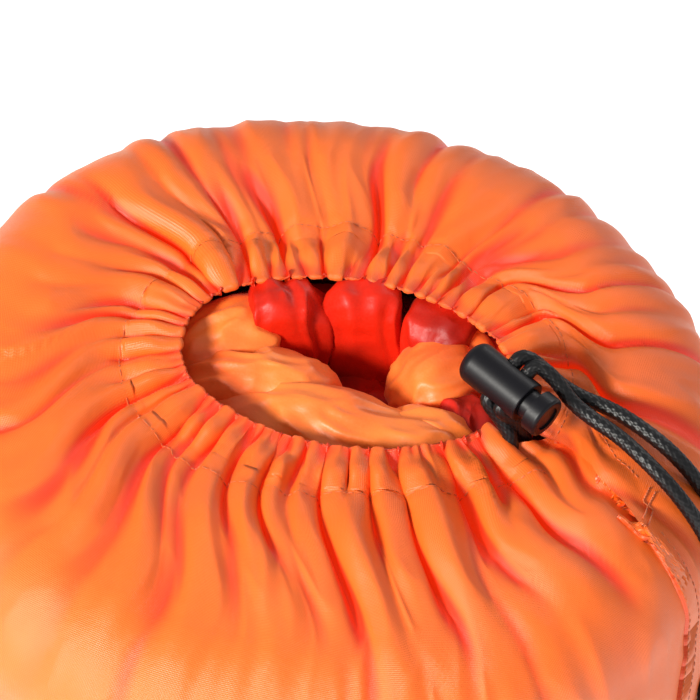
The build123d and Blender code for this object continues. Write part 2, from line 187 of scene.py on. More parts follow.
class Finish:
    """A material, made round one Principled BSDF."""

    def __init__(self, name, **constants):
        self.material = bpy.data.materials.new(name)
        self.material.use_nodes = True
        self.tree = self.material.node_tree
        self.shader = self.tree.nodes["Principled BSDF"]
        for socket, number in constants.items():
            self.shader.inputs[socket.replace("_", " ").title().replace("Ior", "IOR")].default_value = number

    def node(self, kind, settings=None, inputs=None, output=0, vector=None):
        """Adds a node: its settings first, then the values or links of its sockets."""
        made = self.tree.nodes.new(kind)
        for setting, choice in (settings or {}).items():
            setattr(made, setting, choice)
        for key, given in (inputs or {}).items():
            self.join(given, made.inputs[key])
        if vector:
            self.join(self.place(vector), made.inputs["Vector"])
        return Value(self, made.outputs[output])

    def join(self, given, socket):
        if isinstance(given, Value):
            self.tree.links.new(given.socket, socket)
        else:
            socket.default_value = given

    def feed(self, socket, given):
        self.join(given, self.shader.inputs[socket])

    def place(self, kind):
        """Coordinates: Object, UV, or an attribute of the mesh by name."""
        if kind in ("Object", "UV"):
            return self.node("ShaderNodeTexCoord", output=kind)
        return self.node("ShaderNodeAttribute", {"attribute_name": kind}, output="Fac")

    def axes(self, kind):
        """The coordinates' parts as separate values."""
        whole = self.place(kind)
        return [self.node("ShaderNodeSeparateXYZ", inputs={0: whole}, output=part) for part in (0, 1, 2)]

    def noise(self, scale, detail=3.0, roughness=0.55, vector="Object"):
        inputs = {"Scale": scale, "Detail": detail, "Roughness": roughness}
        return self.node("ShaderNodeTexNoise", inputs=inputs, vector=vector)

    def blend(self, factor, first, second):
        """Colour from first to second."""
        first, second = (given if isinstance(given, Value) else (*given, 1) for given in (first, second))
        inputs = {"Factor": factor, 6: first, 7: second}
        return self.node("ShaderNodeMix", {"data_type": "RGBA"}, inputs, output=2)

    def relief(self, height, distance, strength=1.0):
        """Bump in metres that feeds the shader's normal."""
        inputs = {"Height": height, "Distance": distance, "Strength": strength}
        self.feed("Normal", self.node("ShaderNodeBump", inputs=inputs))


def linear(red, green, blue):
    """Scene-linear colour of a display colour given from 0 to 255."""
    return tuple((max(part, 1) / 255) ** 2.2 for part in (red, green, blue))


def weave(finish, pitch, kind="UV"):
    """Plain weave, threads over and under each other, in coordinates that are in metres."""
    across, along, _ = finish.axes(kind)
    warp = (across * (pi / pitch)).wave()
    weft = (along * (pi / pitch)).wave()
    return (warp * weft).size()


# ---------------------------------------------------------------- meshes
def new_piece(name, bm, smooth=True):
    """Object of a finished bmesh, at the origin."""
    mesh = bpy.data.meshes.new(name)
    bm.to_mesh(mesh)
    bm.free()
    mesh.polygons.foreach_set("use_smooth", [smooth] * len(mesh.polygons))
    piece = bpy.data.objects.new(name, mesh)
    bpy.context.scene.collection.objects.link(piece)
    return piece


def surface(name, points, uv, closed=False, **marks):
    """Grid of rows and columns, moved to points. closed welds the last column to the first."""
    rows, columns, _ = points.shape
    bm = bmesh.new()
    bmesh.ops.create_grid(bm, x_segments=columns - 1, y_segments=rows - 1, size=1)
    mesh = bpy.data.meshes.new(name)
    bm.to_mesh(mesh)
    bm.free()
    mesh.vertices.foreach_set("co", points.reshape(-1).astype(np.float32))
    corners = np.empty(len(mesh.loops), np.int32)
    mesh.loops.foreach_get("vertex_index", corners)
    layer = mesh.uv_layers.new(name="flat")
    layer.data.foreach_set("uv", uv.reshape(-1, 2)[corners].reshape(-1).astype(np.float32))
    for mark, values in marks.items():
        attribute = mesh.attributes.new(mark, "FLOAT", "POINT")
        attribute.data.foreach_set("value", values.reshape(-1).astype(np.float32))
    bm = bmesh.new()
    bm.from_mesh(mesh)
    bpy.data.meshes.remove(mesh)
    if closed:
        bmesh.ops.remove_doubles(bm, verts=bm.verts, dist=0.00001)
    bmesh.ops.recalc_face_normals(bm, faces=bm.faces)
    return new_piece(name, bm)


def step(values, low, high):
    """0 below low, 1 above high, smooth between."""
    share = np.clip((values - low) / (high - low), 0, 1)
    return share * share * (3 - 2 * share)


def unit(vectors):
    return vectors / np.maximum(np.linalg.norm(vectors, axis=-1, keepdims=True), 1e-12)


# ---------------------------------------------------------------- the sack's form
BASE_HEIGHT = BASE_CORNER
LEAN_COS, LEAN_SIN = cos(MOUTH_LEAN), sin(MOUTH_LEAN)
RISE = MOUTH_HEIGHT - BEND_HEIGHT
MOUTH_X = MOUTH_MIDDLE[0]
MOUTH_Y = MOUTH_MIDDLE[1] * LEAN_COS + RISE * LEAN_SIN
TOP_RISE = RISE * LEAN_COS - MOUTH_MIDDLE[1] * LEAN_SIN
ROUND_MIDDLE = SACK_RADIUS - SHOULDER_ROUND
SEAM_SHARE = -0.043
BEND_REACH = 20 * MM

# How the cloth fans out: share of the way round the mouth, and azimuth where it comes to the wall
FAN = (
    (-0.0614, -36), (-0.043, -30), (0.0, -18), (0.02, -12), (0.06, 2), (0.10, 15), (0.13, 24), (0.17, 42),
    (0.21, 59), (0.25, 76), (0.32, 93), (0.39, 113), (0.43, 134), (0.49, 167), (0.54, 194),
    (0.58, 215), (0.62, 234), (0.70, 261), (0.755, 275), (0.825, 291), (0.88, 304), (0.9386, 324),
)


def mouth_edge(share):
    """Point and outward angle of the mouth's oval, by share of its length from its right end."""
    end_centre = MOUTH_HALF_LENGTH - MOUTH_END_RADIUS
    narrow = MOUTH_HALF_WIDTH - MOUTH_END_RADIUS
    side_radius = (end_centre**2 / narrow + MOUTH_END_RADIUS + MOUTH_HALF_WIDTH) / 2
    side_centre = side_radius - MOUTH_HALF_WIDTH
    junction = np.arctan2(side_centre, end_centre)
    arcs = (
        (end_centre, 0, MOUTH_END_RADIUS, 0, junction),
        (0, -side_centre, side_radius, junction, pi - junction),
        (-end_centre, 0, MOUTH_END_RADIUS, pi - junction, pi + junction),
        (0, side_centre, side_radius, pi + junction, tau - junction),
        (end_centre, 0, MOUTH_END_RADIUS, tau - junction, tau),
    )
    angle, x, y = [], [], []
    for middle_x, middle_y, radius, start, end in arcs:
        turn = np.linspace(start, end, 200)
        angle.append(turn)
        x.append(middle_x + radius * np.cos(turn))
        y.append(middle_y + radius * np.sin(turn))
    angle, x, y = (np.concatenate(part) for part in (angle, x, y))
    length = np.concatenate(([0], np.cumsum(np.hypot(np.diff(x), np.diff(y)))))
    whole = share % 1
    place = whole * length[-1]
    turn = np.interp(place, length, angle)
    x, y = np.interp(place, length, x), np.interp(place, length, y)
    heading = turn + MOUTH_TURN
    world_x = MOUTH_X + x * cos(MOUTH_TURN) - y * sin(MOUTH_TURN)
    world_y = MOUTH_Y + x * sin(MOUTH_TURN) + y * cos(MOUTH_TURN)
    return world_x, world_y, heading, length[-1]


def wall_azimuth(share):
    """Azimuth at which the cloth from this share of the mouth comes to the wall."""
    fine = np.linspace(-1, 2, 3001)
    known = [(part + turns, azimuth + 360 * turns) for turns in (-1, 0, 1, 2) for part, azimuth in FAN[:-1]]
    rough = np.interp(fine, *zip(*known))
    window = np.hanning(51)
    smooth = np.convolve(rough - 360 * fine, window / window.sum(), "same") + 360 * fine
    return np.radians(np.interp(share, fine, smooth))


def bent(points):
    """Leans the top of an upright sack forwards."""
    height = np.linspace(0, 0.4, 2001)
    lean = MOUTH_LEAN * step(height, BEND_HEIGHT - BEND_REACH, BEND_HEIGHT + BEND_REACH)
    rise = height[1]
    middle_y = -np.cumsum(np.sin(lean)) * rise
    middle_z = np.cumsum(np.cos(lean)) * rise - rise
    x, y, z = points[..., 0], points[..., 1], points[..., 2]
    turn = np.interp(z, height, lean)
    over = z - np.interp(z, height, height)
    return np.stack([
        x,
        np.interp(z, height, middle_y) + y * np.cos(turn) - over * np.sin(turn),
        np.interp(z, height, middle_z) + y * np.sin(turn) + over * np.cos(turn),
    ], -1)


def top_height(radius):
    """Height of the sack's top, above the bend, at this distance from its axis."""
    return TOP_RISE - SHOULDER_DROP - tan(SHOULDER_SLOPE) * radius


def casing_section():
    """Rows of the casing's section: distance out from the mouth's edge, height, share of the drop."""
    rows = []
    for part in np.linspace(0, 1, 13)[:-1]:
        rows.append((INNER_REACH * (1 - part), RIM_RADIUS * (part - 2) - INNER_DEPTH * (1 - part), 0))
    for turn in np.linspace(pi / 4, pi, 12):
        rows.append((RIM_RADIUS * (1 - sin(turn)), -RIM_RADIUS * (1 + cos(turn)), 0))
    for part in np.linspace(0, 1, 44)[1:]:
        rows.append((RIM_RADIUS + part * (CASING_WIDTH - RIM_RADIUS), 0, part**1.3))
    return rows


RIM_ROW = 12 + 4
CASING_ROWS = 12 + 12 + 43


def sack_form(columns):
    """The cloth before its gathers: the columns' shares round the mouth, and points by row and column."""
    share = SEAM_SHARE + np.linspace(0, 1, columns)
    azimuth = wall_azimuth(share)
    rows = []

    def add(x, y, z):
        rows.append(np.stack([x, y, z * np.ones_like(x)], -1))

    x, y, heading, length = mouth_edge(share)
    out_x, out_y = np.cos(heading), np.sin(heading)
    seam_x, seam_y = x + CASING_WIDTH * out_x, y + CASING_WIDTH * out_y
    drop = top_height(np.hypot(seam_x, seam_y)) - TOP_RISE
    for distance, depth, fall in casing_section():
        add(x + distance * out_x, y + distance * out_y, BEND_HEIGHT + TOP_RISE + depth + fall * drop)
    wall_x, wall_y = np.cos(azimuth), np.sin(azimuth)
    round_x, round_y = ROUND_MIDDLE * wall_x, ROUND_MIDDLE * wall_y
    reach = np.hypot(round_x - seam_x, round_y - seam_y) * 0.35
    knots = (
        (seam_x, seam_y),
        (seam_x + reach * out_x, seam_y + reach * out_y),
        (round_x - reach * wall_x, round_y - reach * wall_y),
        (round_x, round_y),
    )
    for t in np.linspace(0, 1, 46)[1:]:
        weights = ((1 - t) ** 3, 3 * t * (1 - t) ** 2, 3 * t * t * (1 - t), t**3)
        plan_x = sum(weight * knot[0] for weight, knot in zip(weights, knots))
        plan_y = sum(weight * knot[1] for weight, knot in zip(weights, knots))
        add(plan_x, plan_y, BEND_HEIGHT + top_height(np.hypot(plan_x, plan_y)))
    round_height = top_height(ROUND_MIDDLE) - SHOULDER_ROUND
    for turn in np.linspace(0, pi / 2, 26)[1:]:
        radius = ROUND_MIDDLE + SHOULDER_ROUND * sin(turn)
        add(radius * wall_x, radius * wall_y, BEND_HEIGHT + round_height + SHOULDER_ROUND * cos(turn))
    for z in np.linspace(BEND_HEIGHT + round_height, BASE_HEIGHT, 50)[1:]:
        add(SACK_RADIUS * wall_x, SACK_RADIUS * wall_y, z)
    for turn in np.linspace(0, pi / 2, 8)[1:]:
        radius = SACK_RADIUS - BASE_CORNER * (1 - cos(turn))
        add(radius * wall_x, radius * wall_y, BASE_HEIGHT - BASE_CORNER * sin(turn))
    return share, np.stack(rows), length
# END OF FORM


# ---------------------------------------------------------------- gathers
# Main valleys, anticlockwise from the right end as seen from above:
# share at the mouth, share at its end, reach, depth, width (mm)
VALLEYS = (
    (0.039, 0.050, 72, 3.0, 2.6), (0.057, 0.050, 24, 2.5, 1.2), (0.080, 0.090, 42, 3.0, 1.6),
    (0.097, 0.108, 46, 3.0, 1.8), (0.126, 0.133, 58, 4.0, 2.0), (0.147, 0.165, 50, 4.5, 1.9),
    (0.168, 0.180, 54, 4.5, 2.2), (0.198, 0.186, 32, 3.0, 1.6), (0.221, 0.212, 30, 2.4, 1.3),
    (0.240, 0.220, 40, 4.0, 2.0), (0.262, 0.250, 48, 6.0, 2.6), (0.284, 0.280, 20, 2.2, 1.2),
    (0.306, 0.321, 26, 3.5, 2.2), (0.326, 0.333, 22, 2.4, 1.3), (0.346, 0.357, 48, 5.5, 2.6),
    (0.368, 0.364, 24, 2.6, 1.3), (0.388, 0.376, 52, 6.0, 2.4), (0.405, 0.397, 46, 3.8, 2.2),
    (0.427, 0.420, 76, 4.2, 1.7), (0.441, 0.445, 32, 3.2, 1.7), (0.456, 0.458, 48, 2.8, 1.3),
    (0.479, 0.480, 36, 2.6, 1.2), (0.494, 0.493, 44, 3.0, 1.2), (0.512, 0.508, 22, 1.8, 0.9),
    (0.530, 0.522, 36, 2.0, 1.0), (0.552, 0.545, 30, 1.8, 1.0), (0.572, 0.559, 52, 2.6, 1.2),
    (0.583, 0.580, 88, 2.4, 1.4), (0.602, 0.618, 32, 2.8, 1.2), (0.625, 0.636, 92, 2.2, 1.4),
    (0.647, 0.652, 30, 1.8, 1.4), (0.671, 0.690, 52, 3.6, 1.7), (0.704, 0.727, 64, 5.4, 1.5),
    (0.719, 0.723, 13, 2.2, 1.0), (0.738, 0.748, 24, 2.0, 1.2), (0.760, 0.778, 74, 6.4, 2.0),
    (0.784, 0.796, 28, 2.2, 1.2), (0.807, 0.820, 50, 5.0, 1.8), (0.823, 0.830, 20, 2.8, 1.1),
    (0.839, 0.850, 82, 6.6, 2.0), (0.864, 0.872, 30, 2.2, 1.2), (0.889, 0.900, 68, 6.4, 2.3),
    (0.903, 0.908, 18, 2.4, 1.0), (0.914, 0.921, 38, 5.4, 2.0), (0.931, 0.936, 74, 5.4, 1.9),
)
STITCH_LINE = (
    (0, 18), (0.06, 18.5), (0.15, 20), (0.24, 21.5), (0.34, 21), (0.46, 17.5), (0.52, 18),
    (0.6, 20), (0.68, 21), (0.74, 19), (0.8, 17.5), (0.9, 18), (1, 18),
)
# The slit's two edges: distance from the mouth's edge (mm), share of the flap's edge, share of the front edge
SLIT_EDGES = (
    (-20, -0.034, -0.052), (8, -0.034, -0.052), (13, -0.034, -0.040), (17, -0.031, -0.018),
    (22, -0.027, -0.006), (28, -0.021, 0.000), (40, -0.014, 0.005), (48, -0.019, 0.000), (56, -0.034, -0.020),
    (62, -0.041, -0.036), (68, SEAM_SHARE, SEAM_SHARE), (500, SEAM_SHARE, SEAM_SHARE),
)
SHOULDER_PUFF = 5 * MM
COLUMNS = 721


def random_valleys(chance, count, reaches, depths, widths):
    """Lesser valleys, spread evenly round the mouth and jittered."""
    spread = (np.arange(count) + chance.uniform(-0.4, 0.4, count)) / count
    drift = chance.uniform(-0.004, 0.004, count)
    drawn = [chance.uniform(*limits, count) for limits in (reaches, depths, widths)]
    rows = zip(spread, spread + drift, *drawn)
    return [tuple(float(number) for number in row) for row in rows]


def gather(share, distance, around):
    """Depth of every valley added up, and the sideways pull that steepens its walls."""
    chance = np.random.default_rng(7)
    valleys = list(VALLEYS)
    valleys += random_valleys(chance, 64, (55, 125), (1.0, 2.6), (1.6, 3.2))
    valleys += random_valleys(chance, 60, (16, 44), (0.9, 2.2), (0.7, 1.2))
    valleys += random_valleys(chance, 120, (4, 10), (0.3, 0.8), (0.35, 0.65))
    height = np.zeros_like(share)
    pull = np.zeros_like(share)
    raised = step(distance, 0, 12 * MM)
    for start, end, reach, depth, width in valleys:
        reach, depth, width = reach * MM, depth * MM, width * MM
        along = np.clip(distance / reach, 0, 1)
        middle = start + (end - start) * along
        away = (share - middle + 0.5) % 1 - 0.5
        spread = width * (0.5 + 0.5 * np.clip(distance / (18 * MM), 0, 1) + 0.9 * along)
        place = away * around / spread
        strength = depth * (0.4 + 0.6 * step(distance, 0, 9 * MM)) * (1 - step(distance, 0.3 * reach, reach))
        strength = strength * step(distance, -9 * MM, 1 * MM)
        cut = np.exp(-np.abs(place) ** 1.35)
        lips = np.exp(-(((np.abs(place) - 2.2) / 1.1) ** 2))
        height += strength * (0.42 * lips * raised - cut)
        pull -= 0.42 * strength * np.sign(place) * np.exp(-(((np.abs(place) - 1.3) / 0.8) ** 2))
    return height, pull


def lumps(points, size, seed):
    """Smooth noise at every point, from -1 to 1."""
    offset = Vector((seed, 2 * seed, -seed))
    flat = points.reshape(-1, 3) / size
    values = [noise.noise(Vector(point) + offset) for point in flat]
    return np.array(values).reshape(points.shape[:-1])


def shaped_cloth():
    """Every point of the gathered cloth by row and column, with its marks."""
    form_share, form, _ = sack_form(COLUMNS)
    distance = np.zeros(form.shape[:2])
    distance[1:] = np.cumsum(np.linalg.norm(np.diff(form, axis=0), axis=2), axis=0)
    distance -= distance[RIM_ROW]
    # columns moved so that they run from the flap's edge round to the front edge
    reach, flap, front = np.array(SLIT_EDGES).T
    middle = distance[:, COLUMNS // 2]
    first = np.interp(middle, reach * MM, flap)
    last = np.interp(middle, reach * MM, front) + 1
    part = np.linspace(0, 1, COLUMNS)
    share = first[:, None] + part * (last - first)[:, None]
    around = np.linalg.norm(np.gradient(form, axis=1), axis=2) * (COLUMNS - 1)
    known = np.concatenate((form_share, form_share[1:] + 1))
    moved = np.empty_like(form)
    for row in range(len(form)):
        for axis in range(3):
            twice = np.concatenate((form[row, :, axis], form[row, 1:, axis]))
            moved[row, :, axis] = np.interp(share[row], known, twice)
        around[row] = np.interp(share[row], known, np.concatenate((around[row], around[row, 1:])))
        distance[row] = np.interp(share[row], known, np.concatenate((distance[row], distance[row, 1:])))
    # valleys come first, then the lifted flap over the pressed-down front edge
    height, pull = gather(share, distance, around)
    # sunk, the valleys' depth, is kept for the cloth's painted shade and painted glow in the folds
    sunk = height.copy()
    in_slit = step(distance, 4 * MM, 13 * MM) * (1 - step(distance, 50 * MM, 63 * MM))
    from_flap = (share - first[:, None]) * around
    from_front = (last[:, None] - share) * around
    height += in_slit * 1.5 * MM * (1 - step(from_flap, 2 * MM, 10 * MM))
    height -= in_slit * 1.3 * MM * (1 - step(from_front, 5 * MM, 16 * MM))
    # the filling's lumps under the cloth, and small creases
    height += SHOULDER_PUFF * step(distance, 10 * MM, 45 * MM) * (1 - step(distance, 100 * MM, 180 * MM))
    plump = np.exp(-((((share + 0.5) % 1 - 0.5 - 0.43) / 0.07) ** 2))
    height += 3.5 * MM * plump * step(distance, 15 * MM, 55 * MM) * (1 - step(distance, 100 * MM, 170 * MM))
    ring = np.stack((np.cos(share * tau), np.sin(share * tau), distance * 0.2 / (60 * MM)), -1) * 60 * MM
    streaks = 1 - 2 * np.abs(lumps(ring, 5.5 * MM, 11))
    streak_share = step(distance, 6 * MM, 20 * MM) * (1 - 0.75 * step(distance, 60 * MM, 150 * MM))
    height += 0.9 * MM * streak_share * (streaks - 0.6)
    sunk += 0.7 * MM * streak_share * (streaks - 0.6)
    wall = step(distance, 20 * MM, 70 * MM)
    height += 1.6 * MM * wall * lumps(moved, 70 * MM, 3)
    height += 0.5 * MM * step(distance, 8 * MM, 30 * MM) * lumps(moved, 16 * MM, 5)
    # puckers along the stitch line
    seam = np.interp(share % 1, *np.array(STITCH_LINE).T) * MM
    pucker = np.exp(-(((distance - seam) / (1.3 * MM)) ** 2))
    height -= pucker * 0.55 * MM * (0.6 + 0.4 * np.sin(share * tau * 75))
    height *= step(moved[..., 2], 0, 30 * MM)
    across = np.gradient(moved, axis=1)
    down = np.gradient(moved, axis=0)
    outward = unit(np.cross(down, across))
    outward *= np.sign(np.sum(outward[-60] * moved[-60] * (1, 1, 0)))
    shaped = moved + outward * height[..., None] + unit(across) * pull[..., None]
    return bent(shaped), share, distance, sunk


# ---------------------------------------------------------------- cloth finishes
def sack_taffeta(name):
    """Thin orange taffeta: satin sheen, fine weave, a painted deep red shade and a painted red glow down in
    the folds, and patches of painted shade where the contents show through.
    """
    finish = Finish(name, sheen_weight=0.12, sheen_roughness=0.3, specular_ior_level=0.55)
    finish.shader.inputs["Sheen Tint"].default_value = (1, 0.76, 0.42, 1)
    depth = finish.place("fold")
    # painted shade: darker patches where the contents show through the thin cloth
    shade_patches = finish.noise(14, 2).between(0.60, 0.74)
    drift = finish.noise(7, 2)
    lit = finish.blend(drift, linear(251, 112, 28), linear(244, 90, 16))
    # painted shade: the cloth turns deep red down in the folds, by the fold mark
    cloth = finish.blend(depth.between(0.04, 0.6), lit, linear(216, 22, 2))
    cloth = finish.blend(shade_patches * 0.25, cloth, linear(206, 100, 58))
    threads = weave(finish, 0.42 * MM)
    slubs = finish.noise(900, 2)
    finish.feed("Base Color", finish.blend(threads * 0.2, cloth, linear(255, 168, 100)))
    finish.feed("Roughness", 0.32 + 0.14 * slubs)
    # painted glow: emission by the fold mark stands in for the red light that comes through the thin cloth
    # down in its folds
    finish.feed("Emission Color", finish.blend(depth.between(0.1, 0.8), (0, 0, 0), (0.52, 0.022, 0)))
    finish.feed("Emission Strength", 0.55)
    creases = finish.noise(160, 4, 0.6)
    soft = finish.noise(45, 3, 0.6)
    finish.relief(threads * 0.35 + slubs * 0.25 + creases * 0.9 + soft * 3.0, 0.2 * MM, 0.8)
    return finish.material


def bag_taffeta(name, deep):
    """The sleeping bag's shell: a redder orange with finer wrinkles. deep makes a shaded copy, painted darker
    and redder with less sheen, for folds in the dark.
    """
    sheen, shine = (0.04, 0.3) if deep else (0.2, 0.5)
    finish = Finish(name, sheen_weight=sheen, sheen_roughness=0.4, specular_ior_level=shine)
    finish.shader.inputs["Sheen Tint"].default_value = (1, 0.7, 0.5, 1)
    drift = finish.noise(30, 2)
    light, dark = (linear(250, 126, 48), linear(240, 92, 30))
    # painted shade: the deep copy's darker, redder colours
    if deep:
        light, dark = (linear(214, 30, 4), linear(140, 8, 2))
    shell = finish.blend(drift.between(0.35, 0.65), light, dark)
    slubs = finish.noise(1500, 2)
    finish.feed("Base Color", finish.blend(slubs * (0.03 if deep else 0.16), shell, linear(255, 170, 110)))
    finish.feed("Roughness", 0.38 + 0.14 * slubs)
    finish.relief(slubs * 0.3 + finish.noise(120, 4, 0.6) * 1.4 + finish.noise(50, 3) * 2.5, 0.2 * MM, 0.8)
    return finish.material


def thread_finish(name, colour):
    """Spun polyester thread: two plies, slightly shiny."""
    finish = Finish(name, roughness=0.55, sheen_weight=0.4)
    twist = (finish.noise(2600, 1) * 1.4).between(0.3, 0.8)
    light = linear(*colour)
    finish.feed("Base Color", finish.blend(twist, light, tuple(0.62 * part for part in light)))
    finish.relief(twist, 0.05 * MM)
    return finish.material


def braid_finish(name):
    """Black polypropylene braid: shiny, with each strand painted lighter on its crown and darker in the
    grooves between strands, a painted highlight and painted shade.
    """
    finish = Finish(name, specular_ior_level=0.45)
    strand = finish.place("strand")
    fibres = finish.noise(1800, 2)
    dark, light = (0.0004, 0.0004, 0.0006), (0.0045, 0.004, 0.0055)
    # painted highlight and painted shade: lighter on each strand's crown, darker in the grooves, by the
    # strand mark
    finish.feed("Base Color", finish.blend(strand.between(0.15, 0.9), dark, light))
    finish.feed("Roughness", 0.34 + 0.2 * fibres)
    finish.relief(fibres, 0.06 * MM, 0.6)
    return finish.material


def lock_plastic(name):
    """Black acetal, spark-eroded finish with faint scuffs."""
    finish = Finish(name, specular_ior_level=0.34)
    grain = finish.noise(1500, 3, 0.7)
    scuffs = finish.noise(240, 4, 0.75).between(0.62, 0.78)
    finish.feed("Base Color", finish.blend(scuffs * 0.5, (0.0028, 0.0022, 0.0045), (0.02, 0.018, 0.024)))
    finish.feed("Roughness", 0.34 + 0.16 * grain + 0.1 * scuffs)
    finish.relief(grain * 0.4 + scuffs * 0.2, 0.05 * MM, 0.6)
    return finish.material


def spring_steel(name):
    """Bright drawn wire with fine draw marks."""
    finish = Finish(name, metallic=1.0)
    marks = finish.noise(1400, 3, 0.7)
    finish.feed("Base Color", finish.blend(marks, (0.62, 0.6, 0.57), (0.8, 0.79, 0.77)))
    finish.feed("Roughness", 0.2 + 0.15 * marks)
    return finish.material


def base_cloth(name):
    """Coated base cloth: the same orange with a faint grid and rubbed spots."""
    finish = Finish(name, roughness=0.6)
    x, y, _ = finish.axes("Object")
    grid = ((x * (pi / (0.6 * MM))).wave() * (y * (pi / (0.6 * MM))).wave()).size()
    rubs = finish.noise(60, 4, 0.6)
    finish.feed("Base Color", finish.blend(rubs.between(0.4, 0.7), linear(240, 105, 42), linear(214, 84, 34)))
    finish.relief(grid * 0.5 + rubs, 0.15 * MM, 0.7)
    return finish.material


# ---------------------------------------------------------------- the sack's pieces
def flat_map(distance, share):
    """Cloth coordinates in metres, as the panel was cut."""
    return np.stack((share * tau * SACK_RADIUS, distance * np.ones_like(share)), -1)


def add_sack():
    points, share, distance, sunk = shaped_cloth()
    # the fold mark, from the valleys' depth, drives the cloth's painted red shade and painted glow
    fold = np.clip(-sunk / (3.0 * MM), 0, 1)
    uv = flat_map(distance, share)
    cloth = sack_taffeta("sack_taffeta")
    split = CASING_ROWS
    casing = surface("drawcord_casing_cloth", points[: split + 1], uv[: split + 1], fold=fold[: split + 1])
    body = surface("sack_body_cloth", points[split:], uv[split:], closed=True, fold=fold[split:])
    for piece, node in ((casing, "drawcord_casing"), (body, "sack_body")):
        piece.data.materials.append(cloth)
        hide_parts(node)
        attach(piece, "sack")
    return points, share, distance, casing, body


def finish_frame_nodes():
    """CAD nodes whose shape is right get their real finish."""
    plastic = lock_plastic("lock_acetal")
    steel = spring_steel("spring_wire")
    base = base_cloth("base_cloth")
    finishes = {
        "cord_lock_barrel": plastic,
        "cord_lock_plunger": plastic,
        "cord_lock_spring": steel,
        "base_panel": base,
        "base_seam_binding": base_cloth("binding_tape"),
        "base_seam_stitching": thread_finish("base_thread", (236, 120, 56)),
    }
    for node, finish in finishes.items():
        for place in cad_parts[node].material_slots:
            place.material = finish
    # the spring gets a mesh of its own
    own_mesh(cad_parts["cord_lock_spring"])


class Cloth:
    """The finished surface of the sack, so that seams, hems and stitches can be laid on it."""

    def __init__(self, points, share, distance):
        self.points, self.share, self.distance = points, share, distance
        down, across = np.gradient(points, axis=0), np.gradient(points, axis=1)
        self.outward = unit(np.cross(down, across))
        middle = self.outward[-60] * points[-60] * (1, 1, 0)
        self.outward *= np.sign(middle.sum())

    def spot(self, share, distance, lift=0.0):
        """Point on the cloth, by share round the mouth and distance from its edge, raised by lift."""
        row = np.searchsorted(self.distance[:, COLUMNS // 2], distance)
        row = int(np.clip(row, 1, len(self.points) - 1))
        columns = self.share[row]
        turned = share if share >= columns[0] else share + 1
        column = float(np.interp(turned, columns, np.arange(COLUMNS)))
        left = int(min(column, COLUMNS - 2))
        low, high = self.distance[row - 1, left], self.distance[row, left]
        down = float(np.clip((distance - low) / (high - low), 0, 1))
        aside = column - left
        result = []
        for grid in (self.points, self.outward):
            upper = grid[row - 1, left] * (1 - aside) + grid[row - 1, left + 1] * aside
            lower = grid[row, left] * (1 - aside) + grid[row, left + 1] * aside
            result.append(upper * (1 - down) + lower * down)
        return result[0] + result[1] * lift


def stitches(name, ends, thickness):
    """A row of stitches: each a small rounded length of thread between two points."""
    bm = bmesh.new()
    for start, end in ends:
        start, end = Vector(start), Vector(end)
        run = end - start
        turn = run.to_track_quat("Z", "Y").to_matrix().to_4x4()
        size = Matrix.Diagonal((thickness, thickness, run.length, 1))
        place = Matrix.Translation((start + end) / 2) @ turn @ size
        bmesh.ops.create_uvsphere(bm, u_segments=6, v_segments=5, radius=0.5, matrix=place)
    piece = new_piece(name, bm)
    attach(piece, "sack")
    return piece


def along(cloth, stops, pitch, lift, fill=0.72):
    """Ends of the stitches of a row through stops, each (share, distance), a pitch apart."""
    fine = []
    for (share, distance), (next_share, next_distance) in zip(stops, stops[1:]):
        for part in np.linspace(0, 1, 60)[:-1]:
            spot_share = share + (next_share - share) * part
            fine.append(cloth.spot(spot_share, distance + (next_distance - distance) * part, lift))
    fine = np.array(fine)
    length = np.concatenate(([0], np.cumsum(np.linalg.norm(np.diff(fine, axis=0), axis=1))))
    count = int(length[-1] / pitch)
    ends = []
    for number in range(count):
        pair = []
        for place in (number, number + fill):
            pair.append([float(np.interp(place * pitch, length, fine[:, axis])) for axis in range(3)])
        ends.append(pair)
    return ends


